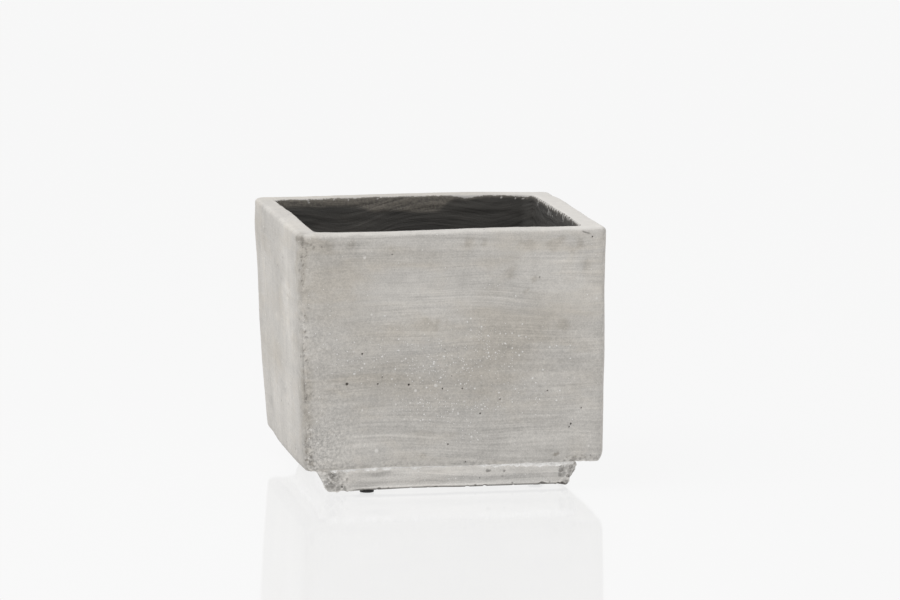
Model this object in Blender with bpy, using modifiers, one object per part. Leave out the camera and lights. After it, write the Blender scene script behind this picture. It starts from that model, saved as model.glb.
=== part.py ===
"""Square cast-cement cover pot on a recessed foot slab.

Run with blender --background --python part.py, or from the Text editor.
Units are metres and +Z is up. The origin is on the surface that the pot stands on, under its
centre, and the front faces -Y.
"""

import bmesh
import bpy
from mathutils import Vector

# ---------------------------------------------------------------- driving dimensions

GAP = 0.0003                # clearance between pieces that touch

TOP_WIDTH = 0.140           # across the rim, both ways
BODY_HEIGHT = 0.108         # underside of the body to the rim
OUTER_DRAFT = 0.0020        # how far each outer wall leans in towards the bottom
WALL_AT_RIM = 0.0098
INNER_DRAFT = 0.0050        # how far each inner wall leans in towards the cavity floor
FLOOR_THICKNESS = 0.010

VERTICAL_EDGE_RADIUS = 0.0036
BOTTOM_EDGE_RADIUS = 0.0025
RIM_EDGE_RADIUS = 0.0011
CAVITY_EDGE_RADIUS = 0.0040

COAT_THICKNESS = 0.0007
COAT_BELOW_RIM = 0.0016     # the brushed coating stops this far short of the rim

FOOT_BASE_WIDTH = 0.109
FOOT_TOP_WIDTH = 0.114      # its sides lean out towards the body
FOOT_THICKNESS = 0.0087
FOOT_EDGE_RADIUS = 0.0012

MORTAR_WIDTH = 0.115        # squeezed out a little past the foot slab
MORTAR_THICKNESS = 0.0012
MORTAR_EDGE_RADIUS = 0.0004

PAD_RADIUS = 0.0032
PAD_THICKNESS = 0.0010
PAD_EDGE_RADIUS = 0.0002
PAD_SIDES = 32
# The pads were stuck on by hand, so no two sit quite alike.
PAD_CENTRES = {
    "pad_front_left": (-0.0368, -0.0511),
    "pad_front_right": (0.0420, -0.0435),
    "pad_rear_left": (-0.0405, 0.0472),
    "pad_rear_right": (0.0392, 0.0486),
}

# Heights above the surface that the pot stands on.
FOOT_BASE_Z = PAD_THICKNESS + GAP
MORTAR_BASE_Z = FOOT_BASE_Z + FOOT_THICKNESS + GAP
BODY_BASE_Z = MORTAR_BASE_Z + MORTAR_THICKNESS + GAP
RIM_Z = BODY_BASE_Z + BODY_HEIGHT
CAVITY_FLOOR_Z = BODY_BASE_Z + FLOOR_THICKNESS

# ---------------------------------------------------------------- finishes: colour, roughness

CONCRETE = ("cast_concrete", (0.46, 0.44, 0.41), 0.85)
FOOT_CONCRETE = ("foot_concrete", (0.50, 0.49, 0.47), 0.88)
MORTAR = ("bonding_mortar", (0.66, 0.65, 0.62), 0.92)
COATING = ("brushed_waterproofing", (0.045, 0.043, 0.040), 0.70)
RUBBER = ("black_rubber", (0.015, 0.015, 0.016), 0.75)


# ---------------------------------------------------------------- helpers

BEVEL_WEIGHTS = "bevel_weight_edge"     # the mesh attribute that a Bevel modifier reads


def clear_scene():
    for old in list(bpy.data.objects):
        bpy.data.objects.remove(old, do_unlink=True)


def new_collection(name):
    collection = bpy.data.collections.new(name)
    bpy.context.scene.collection.children.link(collection)
    return collection


def make_material(finish):
    name, colour, roughness = finish
    material = bpy.data.materials.new(name)
    material.use_nodes = True
    shader = material.node_tree.nodes["Principled BSDF"]
    shader.inputs["Base Color"].default_value = (*colour, 1.0)
    shader.inputs["Roughness"].default_value = roughness
    shader.inputs["Metallic"].default_value = 0.0
    return material


def add_object(name, bm, finish, collection, location=(0.0, 0.0, 0.0)):
    mesh = bpy.data.meshes.new(name)
    bm.to_mesh(mesh)
    bm.free()
    mesh.materials.append(make_material(finish))
    piece = bpy.data.objects.new(name, mesh)
    piece.location = location
    collection.objects.link(piece)
    return piece


def tapered_box(bottom_width, top_width, base_z, top_z):
    """A square box, centred on the Z axis, whose walls lean out from base_z to top_z."""
    bm = bmesh.new()
    bm.edges.layers.float.new(BEVEL_WEIGHTS)
    bmesh.ops.create_cube(bm, size=1.0)
    for vert in bm.verts:
        at_top = vert.co.z > 0.0
        width = top_width if at_top else bottom_width
        vert.co = Vector((vert.co.x * width, vert.co.y * width, top_z if at_top else base_z))
    return bm


def top_face(bm):
    return max(bm.faces, key=lambda face: face.calc_center_median().z)


def weight_edges(bm, edges, radius, largest_radius):
    """Mark edges for a weighted Bevel modifier whose width is largest_radius."""
    weights = bm.edges.layers.float[BEVEL_WEIGHTS]
    for edge in edges:
        edge[weights] = radius / largest_radius


def add_weighted_bevel(piece, largest_radius, segments):
    bevel = piece.modifiers.new("rounded_edges", "BEVEL")
    bevel.limit_method = "WEIGHT"
    bevel.width = largest_radius
    bevel.segments = segments
    bevel.harden_normals = False


def add_edge_bevel(piece, radius, segments):
    bevel = piece.modifiers.new("rounded_edges", "BEVEL")
    bevel.limit_method = "ANGLE"
    bevel.width = radius
    bevel.segments = segments


def is_upright(edge):
    first, second = (vert.co for vert in edge.verts)
    return abs(first.z - second.z) > 0.5 * BODY_HEIGHT


# ---------------------------------------------------------------- pieces

def make_planter_body(collection):
    """The casting: a tapered block, its top face inset to the wall and sunk to the cavity floor."""
    bm = tapered_box(TOP_WIDTH - 2 * OUTER_DRAFT, TOP_WIDTH, BODY_BASE_Z, RIM_Z)
    outer_uprights = [edge for edge in bm.edges if is_upright(edge)]
    outer_rim = list(top_face(bm).edges)
    underside = min(bm.faces, key=lambda face: face.calc_center_median().z)
    outer_bottom = list(underside.edges)

    mouth = top_face(bm)
    bmesh.ops.inset_region(bm, faces=[mouth], thickness=WALL_AT_RIM, use_even_offset=True)
    inner_rim = list(mouth.edges)
    sunk = bmesh.ops.extrude_discrete_faces(bm, faces=[mouth])["faces"][0]
    inner_width = TOP_WIDTH - 2 * WALL_AT_RIM
    shrink = (inner_width - 2 * INNER_DRAFT) / inner_width
    for vert in sunk.verts:
        vert.co = Vector((vert.co.x * shrink, vert.co.y * shrink, CAVITY_FLOOR_Z))
    inner_bottom = list(sunk.edges)
    inner_uprights = [edge for edge in bm.edges if is_upright(edge) and edge not in outer_uprights]

    largest = CAVITY_EDGE_RADIUS
    weight_edges(bm, outer_uprights, VERTICAL_EDGE_RADIUS, largest)
    weight_edges(bm, outer_bottom, BOTTOM_EDGE_RADIUS, largest)
    weight_edges(bm, outer_rim + inner_rim, RIM_EDGE_RADIUS, largest)
    weight_edges(bm, inner_uprights + inner_bottom, CAVITY_EDGE_RADIUS, largest)
    bmesh.ops.recalc_face_normals(bm, faces=bm.faces)
    body = add_object("planter_body", bm, CONCRETE, collection)
    add_weighted_bevel(body, largest, segments=4)


def make_waterproof_coat(collection):
    """The brushed coating: an open skin that lines the cavity's walls and floor."""
    wall_lean = INNER_DRAFT / (RIM_Z - CAVITY_FLOOR_Z)
    floor_z = CAVITY_FLOOR_Z + GAP
    top_z = RIM_Z - COAT_BELOW_RIM
    rim_width = TOP_WIDTH - 2 * WALL_AT_RIM - 2 * GAP
    bottom_width = rim_width - 2 * wall_lean * (RIM_Z - floor_z)
    top_width = rim_width - 2 * wall_lean * COAT_BELOW_RIM
    bm = tapered_box(bottom_width, top_width, floor_z, top_z)
    bmesh.ops.delete(bm, geom=[top_face(bm)], context="FACES_ONLY")
    folds = [edge for edge in bm.edges if not edge.is_boundary]
    weight_edges(bm, folds, CAVITY_EDGE_RADIUS, CAVITY_EDGE_RADIUS)
    coat = add_object("waterproof_coat", bm, COATING, collection)
    add_weighted_bevel(coat, CAVITY_EDGE_RADIUS, segments=4)
    skin = coat.modifiers.new("skin", "SOLIDIFY")
    skin.thickness = COAT_THICKNESS
    skin.offset = -1.0
    skin.use_even_offset = True


def make_slab(name, finish, base_width, top_width, base_z, thickness, edge_radius, collection):
    bm = tapered_box(base_width, top_width, base_z, base_z + thickness)
    slab = add_object(name, bm, finish, collection)
    add_edge_bevel(slab, edge_radius, segments=3)


def make_pad(name, centre, collection):
    bm = bmesh.new()
    bmesh.ops.create_cone(bm, cap_ends=True, segments=PAD_SIDES, radius1=PAD_RADIUS,
                          radius2=PAD_RADIUS, depth=PAD_THICKNESS)
    for face in bm.faces:
        face.smooth = len(face.verts) == 4
    pad = add_object(name, bm, RUBBER, collection, location=(*centre, PAD_THICKNESS / 2))
    add_edge_bevel(pad, PAD_EDGE_RADIUS, segments=2)


def main():
    clear_scene()
    parts = new_collection("planter_box")
    make_planter_body(parts)
    make_waterproof_coat(parts)
    make_slab("mortar_bed", MORTAR, MORTAR_WIDTH, MORTAR_WIDTH, MORTAR_BASE_Z, MORTAR_THICKNESS,
              MORTAR_EDGE_RADIUS, parts)
    make_slab("foot_slab", FOOT_CONCRETE, FOOT_BASE_WIDTH, FOOT_TOP_WIDTH, FOOT_BASE_Z,
              FOOT_THICKNESS, FOOT_EDGE_RADIUS, parts)
    for name, centre in PAD_CENTRES.items():
        make_pad(name, centre, parts)


main()
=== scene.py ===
"""Looks of the square cast-cement cover pot.

The casting, its brushed waterproof coat, the mortar joint, the foot slab and the pads are each a
detailed mesh that stands for its CAD node. Lengths are metres unless a name ends in _MM.
"A side" is one of the four walls, counted anticlockwise from the front seen from above. A place on
a side is (side, along, up) in millimetres: along runs from the middle of the wall to the right as
one faces it, and up runs from the underside of the body.
"""

import math
import random

import bmesh
import bpy
import numpy as np
from mathutils import Matrix, Vector, kdtree, noise


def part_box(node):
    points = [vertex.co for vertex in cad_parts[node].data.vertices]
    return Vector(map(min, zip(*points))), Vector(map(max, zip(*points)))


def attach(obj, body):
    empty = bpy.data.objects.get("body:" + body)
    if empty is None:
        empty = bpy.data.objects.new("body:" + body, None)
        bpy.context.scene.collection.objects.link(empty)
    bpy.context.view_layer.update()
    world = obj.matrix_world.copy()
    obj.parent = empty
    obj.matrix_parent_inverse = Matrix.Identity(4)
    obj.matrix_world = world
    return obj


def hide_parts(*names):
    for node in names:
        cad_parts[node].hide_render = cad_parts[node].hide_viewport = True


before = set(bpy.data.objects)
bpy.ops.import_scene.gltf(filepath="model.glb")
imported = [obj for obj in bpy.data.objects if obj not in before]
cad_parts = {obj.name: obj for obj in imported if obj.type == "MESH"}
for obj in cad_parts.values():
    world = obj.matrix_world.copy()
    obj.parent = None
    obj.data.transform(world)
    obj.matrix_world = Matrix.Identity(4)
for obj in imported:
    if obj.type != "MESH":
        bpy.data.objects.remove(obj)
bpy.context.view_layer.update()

MM = 0.001
FRONT, RIGHT, REAR, LEFT = range(4)

# ---------------- sizes, from the frame

BODY_LOW, BODY_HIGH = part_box("planter_body")
COAT_LOW, COAT_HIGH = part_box("waterproof_coat")
FOOT_LOW, FOOT_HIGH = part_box("foot_slab")
MORTAR_LOW, MORTAR_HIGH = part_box("mortar_bed")
PADS = ("pad_front_left", "pad_front_right", "pad_rear_left", "pad_rear_right")

BODY_HEIGHT = BODY_HIGH.z - BODY_LOW.z
RIM_HALF = BODY_HIGH.x
OUTER_DRAFT = 2 * MM
BASE_HALF = RIM_HALF - OUTER_DRAFT
WALL = 9.8 * MM
MOUTH_HALF = RIM_HALF - WALL
INNER_DRAFT = 5 * MM
CAVITY_DEPTH = BODY_HIGH.z - COAT_LOW.z

UPRIGHT_ROUND = 4.4 * MM        # radius of the four upright edges
BASE_ROUND = 2.4 * MM           # radius of the body's bottom edges
RIM_ROUND = 2 * MM              # radius of the rim's outer edge
MOUTH_ROUND = 1.3 * MM          # radius of the rim's inner edge
MOUTH_CORNER = 5.2 * MM         # radius of the cavity's upright corners

FOOT_DRAFT = 2.5 * MM           # how far the foot's sides lean out from its underside to its top

LEAN = 1.1 * MM                 # how far right of the rim's middle the foot stands
TUCK = 2.6 * MM                 # how far the left wall turns in at its lower rear corner
BULGE = 0.5 * MM                # how far the rest of the left wall stands out
MOUTH_LEFT = 0.35 * MM          # how far left of the rim's middle the cavity sits
MOUTH_AHEAD = 1.7 * MM          # how far it sits towards the front

TALL_MM = 108                   # the body's height
# How far the joint under the front wall rises: (along, rise).
JOINT_RISE_MM = [
    (-68, 0.4), (-60, 0.8), (-50, 1.2), (-30, 1.4), (0, 1.5), (20, 1.6), (35, 1.6), (55, 1.1),
    (68, 0.6),
]


# ---------------- marks of casting and wear

def on(side, marks):
    """The same marks, each with its side put first."""
    return [(side, *mark) for mark in marks]


# Air holes that reached the surface: (along, up, radius), all in millimetres.
PINHOLES_MM = on(FRONT, [
    (-49, 40.3, 0.55), (-42, 53.8, 0.36), (-21, 39.2, 0.45), (-5.7, 37, 0.3), (3.3, 36.8, 0.25),
    (-35, 40, 0.27), (11.3, 25.2, 0.31), (57.6, 26.4, 0.25), (52.8, 19.4, 0.35), (52, 17.9, 0.26),
    (-3.5, 11.7, 0.28), (42.2, 34.8, 0.25), (-28, 98.5, 0.21), (-33, 43, 0.21),
    (63.2, 104.2, 0.26), (39, 86.5, 0.2), (20.5, 31.5, 0.25),
])
# Pale grains that stand in the surface: (along, up, radius).
PALE_GRAINS_MM = on(FRONT, [
    (-42.2, 47.5, 0.45), (-46, 55, 0.4), (-8.8, 38.5, 0.75), (-18, 36.5, 0.6), (-16, 42.3, 0.45),
    (-37.6, 71.5, 0.55), (-36, 9.6, 0.85), (3.6, 46.2, 0.45), (-20.4, 31, 0.42),
    (-27, 30.5, 0.42), (65, 76.3, 0.5), (28, 78, 0.36), (-40.5, 97.3, 0.6), (11.8, 29.2, 0.42),
    (-24, 50, 0.38), (-1, 27.5, 0.42), (4, 31, 0.36), (20.8, 61.4, 0.36), (-66, 9.5, 0.55),
    (-62, 14, 0.5), (-65, 20, 0.45), (-42.3, 28.2, 0.45), (-23.2, 23.6, 0.42), (61, 9, 0.45),
])
# Soft areas of tone: (along, up, half width, half height, strength).
WARM_AREAS_MM = on(FRONT, [
    (-56, 86, 14, 17, 0.9), (-22, 96, 20, 4, 0.9), (34, 66, 24, 8, 1), (24, 52, 18, 11, 0.9),
    (46, 73, 14, 5, 0.5), (-32, 41, 28, 10, 0.8), (12, 39, 14, 7, 0.5), (-37, 63, 11, 8, 0.7),
    (-40, 44, 9, 3, 1), (-14, 65.5, 6, 3, 0.9), (34, 63, 6, 3, 0.8), (20, 95, 14, 5, 0.3),
    (60, 40, 10, 5, 0.4), (-64, 103, 7, 4, 1.5), (44, 101, 16, 2, 0.6), (-66, 104, 4, 3, 2),
])
WARM_AREAS_MM += on(LEFT, [(-20, 42, 34, 6, 0.6), (66, 100, 5, 6, 1)])
DARK_AREAS_MM = on(FRONT, [
    (20, 56, 13, 11, 1), (1, 48, 15, 5, 0.6), (42, 65, 14, 4, 0.45), (48, 63, 7, 2, 0.3),
    (-50, 54, 9, 5, 0.45), (0, 31, 58, 15, 0.45), (10, 15, 24, 6, 0.35), (22, 90, 12, 8, 0.35),
    (-30, 42, 30, 6, 0.7), (-35, 45, 9, 2.5, 0.6), (53, 48, 6, 2.5, 0.6), (4, 38, 18, 4, 0.5),
    (-10, 29, 26, 3, 0.5), (-54, 95, 12, 7, 0.45), (-12, 97, 18, 3, 0.3), (26, 92, 8, 4, 0.4),
    (-43, 103, 4, 1.4, 0.7), (-52, 103.6, 14, 1.6, 0.6), (-62, 15, 7, 8, 0.6),
    (62, 4.5, 9, 2.2, 1.2), (46, 4, 9, 1.6, 0.8), (8, 4.5, 22, 1.5, 0.7),
    (-22, 5.5, 20, 1.8, 0.6), (-24, 20, 16, 2, 0.4),
])
DARK_AREAS_MM += on(LEFT, [
    (-35, 99, 26, 8, 0.9), (-37, 94, 4, 4, 1), (-52, 88, 3, 6, 0.8), (-25, 60, 12, 12, 0.3),
    (5, 78, 9, 20, 0.7), (58, 58, 9, 8, 0.6), (72, 54, 17, 90, 0.9), (50, 4, 34, 12, 0.6),
    (10, 100.5, 60, 5.5, 0.4), (40, 99, 16, 6, 0.4),
])
LIGHT_AREAS_MM = on(FRONT, [
    (-16, 81, 24, 9, 0.7), (46, 91, 19, 11, 1), (61, 78, 9, 12, 0.6), (45, 41, 12, 2.2, 0.9),
    (46, 13, 22, 7, 0.5), (-50, 9, 14, 5, 0.4), (-66, 41, 3, 4, 0.5), (0, 11, 16, 2, 0.4),
    (-20, 104, 12, 1.5, 0.3), (62, 24, 8, 7, 0.9), (-28, 100, 10, 4, 0.8), (45, 69, 9, 8, 0.9),
    (50, 83, 6, 4, 0.6), (-36, 41, 14, 4, 0.4), (-38, 15, 18, 4, 0.5), (0, 15, 9, 4, 0.3),
    (30, 7, 6, 3, 0.5), (48, 16, 8, 4, 0.4),
])
LIGHT_AREAS_MM += on(LEFT, [
    (31, 60, 12, 60, 0.75), (34, 76, 5, 30, 0.25), (-58, 24, 9, 14, 0.8), (-18, 22, 14, 10, 1),
    (-45, 78, 9, 14, 0.5), (14, 26, 14, 18, 0.65), (38, 78, 12, 16, 0.4),
])
# Where pale specks crowd: (along, up, half width, half height, strength).
SPECK_AREAS_MM = on(FRONT, [
    (3, 50, 15, 8, 1), (-22, 48, 12, 4, 0.8), (-20, 29, 13, 4, 0.9), (2, 28, 20, 6, 0.8),
    (2, 15, 9, 3, 0.8), (-59, 17, 8, 8, 1), (20, 57, 12, 8, 0.7), (-44, 52, 10, 6, 0.6),
    (0, 48, 46, 14, 0.35), (30, 33, 26, 5, 0.4), (-62, 62, 8, 16, 0.35),
])
# Chips knocked out of edges: (along, up, radius, how deep the scoop cuts).
CHIPS_MM = on(FRONT, [
    (54, 1.2, 2.4, 1.3), (60.5, 1.2, 1.8, 1.1), (49.5, 0.8, 1.7, 0.9), (64.5, 2, 2, 1),
    (40, 0.4, 1.2, 0.6), (57.2, 2.2, 1.3, 0.7), (12, 0, 1.3, 0.3), (-21, 0, 1.5, 0.3),
])
CHIPS_MM += on(RIGHT, [(-61, 1, 2.4, 0.7), (22, 0.2, 2.2, 0.5)])
CHIPS_MM += on(REAR, [(-40, 0.3, 2.6, 0.6), (30, 107.6, 1.6, 0.4)])
CHIPS_MM += on(LEFT, [(-30, 0, 2, 0.4)]) + on(RIGHT, [(40, 107.7, 1.5, 0.4)])
# Brown smudges under the rim and small dark spots by the bottom edge: (along, up, radius).
SMUDGES_MM = on(FRONT, [
    (-69.2, 105.6, 1.3), (-68.2, 104.4, 0.8), (-66.6, 104.4, 0.8), (-65.2, 103.6, 0.8),
    (-67.4, 101.8, 0.7), (-63.4, 102.4, 0.7), (-59.5, 102.8, 0.5), (46, 5, 1), (-65.4, 4.4, 0.8),
    (-66.8, 6, 0.6), (-64.2, 3.4, 0.6), (-67.2, 10, 0.5), (50.4, 2.4, 0.4), (51.6, 3.2, 0.4),
    (53.2, 2.6, 0.35), (55, 3.2, 0.45), (57.4, 3.4, 0.4), (59.4, 2.8, 0.4),
])
# Soft brownish blotches: (along, up, radius).
BLOTCHES_MM = on(FRONT, [
    (6.6, 103.2, 1.8), (14, 103, 1.4), (31, 102, 1.6), (34.5, 101.6, 2.2), (45.3, 100.8, 2.6),
    (48.7, 103.2, 1.6), (54.4, 98, 1.1), (57.5, 101.6, 2.2), (60, 91.6, 2.2), (-57.5, 102.6, 2.6),
    (-46.5, 103.2, 1.5), (-28, 101, 1.2), (-13.4, 67.2, 2), (-11, 66.2, 1.6), (-7.6, 67.4, 1),
    (-3.2, 67.6, 0.9), (-8.4, 64.8, 1.4), (34.4, 63, 1.3), (33.2, 80.4, 1), (49.5, 64.6, 2.6),
    (25.5, 89, 2.4), (-15, 6.2, 1.2), (36.5, 85.6, 1.2),
])
# Hollows in the foot's front: (along, up from its underside, radius, how dark it is painted, for dirt
# and for painted shade in the hollow).
FOOT_HOLLOWS_MM = [
    (-54.9, 3.4, 0.7, 0.6), (-54, 2.9, 0.6, 0.45), (-54.6, 6.3, 1.3, 0.25),
    (-53.2, 6.9, 0.9, 0.2), (-52.6, 4.9, 0.9, 0.25), (-53.6, 5, 0.7, 0.35),
    (-55.6, 7.6, 0.8, 0.3), (-51.3, 5.9, 0.6, 0.2), (-51.4, 7.4, 0.7, 0.2), (-49.6, 8, 0.6, 0.2),
    (16.6, 6.3, 0.75, 0.45), (17.6, 6.4, 0.6, 0.4), (24.3, 6.1, 0.5, 0.4), (23.6, 4, 0.4, 0.3),
    (-28.5, 0.3, 0.7, 0.5), (-25.2, 0.2, 0.6, 0.6), (-9.6, 0.2, 0.8, 0.55), (0.8, 0.2, 0.5, 0.4),
    (11.4, 0.2, 0.8, 0.55), (28.3, 0.7, 0.65, 0.5), (45.5, 0.9, 0.6, 0.45), (50, 7.6, 0.9, 0.35),
    (50.4, 5.8, 1, 0.4), (50, 3.9, 0.8, 0.4), (54.9, 7.4, 0.9, 0.35), (54.4, 5.5, 1, 0.4),
    (53.9, 3.4, 0.9, 0.4), (53.4, 1, 0.7, 0.5),
]
# Smears on the foot's front: (along, up, half width, half height, tone; below 0 is darker).
FOOT_SMEARS_MM = [
    (-35, 6.2, 7, 1.1, -2.2), (-31, 7, 3.5, 0.7, -1.5), (-15, 8.4, 1.8, 0.5, -2.8),
    (-40, 2, 6, 1.1, -1.6), (-8, 2.8, 16, 0.7, -1.4), (4, 4.4, 20, 0.6, -1),
    (-4, 6.4, 16, 0.8, 0.8), (-48, 4.5, 3, 3, 1.2), (36, 5, 9, 2.5, -0.6),
    (-53.5, 1.3, 2.4, 0.9, 2), (-52, 2.6, 1.6, 0.7, 1.2),
]
# Upright smears at the right end of the foot's front: (along, half width, tone; below 0 is darker).
FOOT_COLUMNS_MM = [(51, 0.8, -3), (53.4, 0.5, 1.8), (55.9, 1.2, -3)]
# Beads of mortar squeezed out along the front: (along, half width, how far out).
MORTAR_BEADS_MM = [
    (-48.2, 2, 1), (-38.5, 1.2, 0.8), (-30.2, 1.4, 0.7), (-16.9, 1, 0.5), (24, 7, 0.6),
    (34, 5, 0.8), (46, 6, 0.7),
]
# Places where the brush missed the cavity's wall: (along, below the rim, radius).
COAT_GAPS_MM = on(REAR, [
    (32.5, 0.7, 0.4), (12.6, 1, 0.35), (-45.6, 1.2, 0.45), (-52.2, 1.6, 0.4), (-56, 1.7, 0.35),
    (44.3, 1, 0.35), (44.1, 1.8, 0.3), (26, 1.1, 0.3),
])
CRACK_MM = (FRONT, 60.3, 106, 2.2)    # a short slit under the rim: middle and half length

SEED = 41


# ---------------- small mathematics

def smoothstep(low, high, value):
    t = np.clip((value - low) / (high - low), 0, 1)
    return t * t * (3 - 2 * t)


def bell(value, centre, width):
    """1 at the centre, falling smoothly to 0 on both sides."""
    return np.exp(-(((value - centre) / width) ** 2))


def lumps(points, wavelength_mm, seed=0):
    """Smooth noise, about -0.5 to 0.5; it has one wavelength, or one for each axis."""
    steps = np.broadcast_to(np.asarray(wavelength_mm, float) * MM, (3,))
    scaled = points / steps + np.array((17.3, 5.1, 9.7)) * (seed + 1)
    return np.array([noise.noise(Vector(p)) for p in scaled])


def wall_half(up):
    """Half the body's width at a height above its underside."""
    return BASE_HALF + OUTER_DRAFT * up / BODY_HEIGHT


def turn_to(side):
    """The turn about Z that takes the front wall to another one."""
    return Matrix.Rotation(side * math.pi / 2, 3, "Z")


def place(side, along_mm, up_mm):
    """The point on the outside of a wall, in the frame."""
    up = up_mm * MM
    point = Vector((along_mm * MM, -wall_half(up), BODY_LOW.z + up))
    return turn_to(side) @ point


def on_sides(points):
    """Which side each point belongs to, and its (along, up) there, in millimetres."""
    x, y = points[:, 0], points[:, 1]
    front_or_rear = np.abs(y) >= np.abs(x)
    side = np.where(front_or_rear, np.where(y < 0, FRONT, REAR), np.where(x > 0, RIGHT, LEFT))
    along = np.choose(side, [x, y, -x, -y]) / MM
    return side, along, (points[:, 2] - BODY_LOW.z) / MM


# ---------------- mesh building

def square_ring(half, corner, z, side_steps, corner_steps):
    """Points of a rounded square, anticlockwise from the front's left end."""
    corner = max(corner, 0.2 * MM)
    ring = []
    for side in range(4):
        turn = turn_to(side)
        straight = half - corner
        for step in range(side_steps[side]):
            along = -straight + 2 * straight * step / side_steps[side]
            ring.append(turn @ Vector((along, -half, z)))
        for step in range(corner_steps):
            angle = -math.pi / 2 + math.pi / 2 * step / corner_steps
            centre = Vector((straight, -straight, z))
            ring.append(turn @ (centre + corner * Vector((math.cos(angle), math.sin(angle), 0))))
    return ring


def skin_rows(bm, rows):
    """Put faces between closed rows of points and one across each end; returns those two."""
    for lower, upper in zip(rows, rows[1:]):
        for i in range(len(lower)):
            j = (i + 1) % len(lower)
            bm.faces.new((lower[i], lower[j], upper[j], upper[i]))
    return bm.faces.new(list(reversed(rows[0]))), bm.faces.new(rows[-1])


def ring_stack(rings, side_steps, corner_steps):
    """A closed mesh through rounded squares (half, corner, z), with a flat face at each end."""
    bm = bmesh.new()
    rows = [
        [bm.verts.new(p) for p in square_ring(half, corner, z, side_steps, corner_steps)]
        for half, corner, z in rings
    ]
    return bm, *skin_rows(bm, rows)


def arc_rows(half, corner, z, radius, start, end, steps):
    """Rows round a quarter edge; angles are in degrees, and 0 points out and 90 up."""
    rows = []
    for step in range(steps + 1):
        angle = math.radians(start + (end - start) * step / steps)
        out = radius * math.cos(angle)
        rows.append((half + out, corner + out, z + radius * math.sin(angle)))
    return rows


def cut_into_grid(bm, face, step):
    """Slice one flat face, square to Z, into a grid of about this step."""
    faces = {face}
    low = min(v.co.x for v in face.verts)
    count = max(1, round(-2 * low / step))
    for axis in (Vector((1, 0, 0)), Vector((0, 1, 0))):
        for i in range(1, count):
            at = axis * (low - 2 * low * i / count)
            edges = {e for f in faces for e in f.edges}
            verts = {v for f in faces for v in f.verts}
            geometry = [*faces, *edges, *verts]
            cut = bmesh.ops.bisect_plane(bm, geom=geometry, plane_co=at, plane_no=axis)
            faces |= {g for g in cut["geom"] if isinstance(g, bmesh.types.BMFace)}


def refine_near(bm, spots, cuts):
    """Split the faces within reach of any spot (centre, radius) into finer ones."""
    bm.faces.ensure_lookup_table()
    tree = kdtree.KDTree(len(bm.faces))
    for face in bm.faces:
        tree.insert(face.calc_center_median(), face.index)
    tree.balance()
    near = {index for centre, radius in spots for _, index, _ in tree.find_range(centre, radius)}
    edges = {edge for index in near for edge in bm.faces[index].edges}
    bmesh.ops.subdivide_edges(bm, edges=list(edges), cuts=cuts, use_grid_fill=True)


def askew(points):
    """The hand-made pot leans: the lower a point is, the further right it sits."""
    moved = points.copy()
    moved[:, 0] += LEAN * (1 - points[:, 2] / BODY_HIGH.z)
    return moved


def shift_mouth(points):
    """The cavity isn't centred, and its left wall is pulled out, most of all at the rear."""
    moved = points.copy()
    left = smoothstep(10 * MM, -55 * MM, points[:, 0])
    moved[:, 0] -= MOUTH_LEFT + left * (0.7 + 0.8 * smoothstep(0, 55 * MM, points[:, 1])) * MM
    moved[:, 1] -= MOUTH_AHEAD
    return moved


def lift_front(points, share=1):
    """The joint under the front wall isn't level: it rises by up to about 1.6 mm."""
    lift = np.interp(points[:, 0] / MM, *zip(*JOINT_RISE_MM))
    moved = points.copy()
    moved[:, 2] += lift * MM * share * smoothstep(-30 * MM, -56 * MM, points[:, 1])
    return moved


def rim_rise(points):
    """How far the hand-struck rim stands above or below its level; it is lowest at the rear right."""
    rise = 0.35 + 0.35 * lumps(points, 38, 8) + 0.12 * lumps(points, 7, 9)
    x, y = points[:, 0], points[:, 1]
    rear_right = smoothstep(20 * MM, 60 * MM, x) * smoothstep(20 * MM, 60 * MM, y)
    front_left = smoothstep(20 * MM, -60 * MM, x) * smoothstep(0, -60 * MM, y)
    return (rise - 0.75 * rear_right - 0.35 * front_left) * MM


class Surface:
    """A plain mesh's points before they are moved; x, y, along and up are in millimetres."""

    def __init__(self, bm):
        bm.normal_update()
        self.rest = np.array([v.co for v in bm.verts])
        self.normals = np.array([v.normal for v in bm.verts])
        self.side, self.along, self.up = on_sides(self.rest)
        self.x, self.y = self.rest[:, 0] / MM, self.rest[:, 1] / MM
        self.reach = np.maximum(np.abs(self.rest[:, 0]), np.abs(self.rest[:, 1]))


def move_to(bm, points):
    for vert, point in zip(bm.verts, points):
        vert.co = point


def finish_piece(name, bm, material, node, masks=None):
    """Make the object, give it its masks for the material, and let it stand for its CAD node."""
    mesh = bpy.data.meshes.new(name)
    bm.to_mesh(mesh)
    bm.free()
    mesh.shade_smooth()
    mesh.materials.append(material)
    for mask, values in (masks or {}).items():
        layer = mesh.attributes.new(mask, "FLOAT", "POINT")
        layer.data.foreach_set("value", np.asarray(values, np.float32))
    piece = bpy.data.objects.new(name, mesh)
    bpy.context.scene.collection.objects.link(piece)
    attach(piece, "root")
    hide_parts(node)
    return piece


# ---------------- marks on the casting

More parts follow.
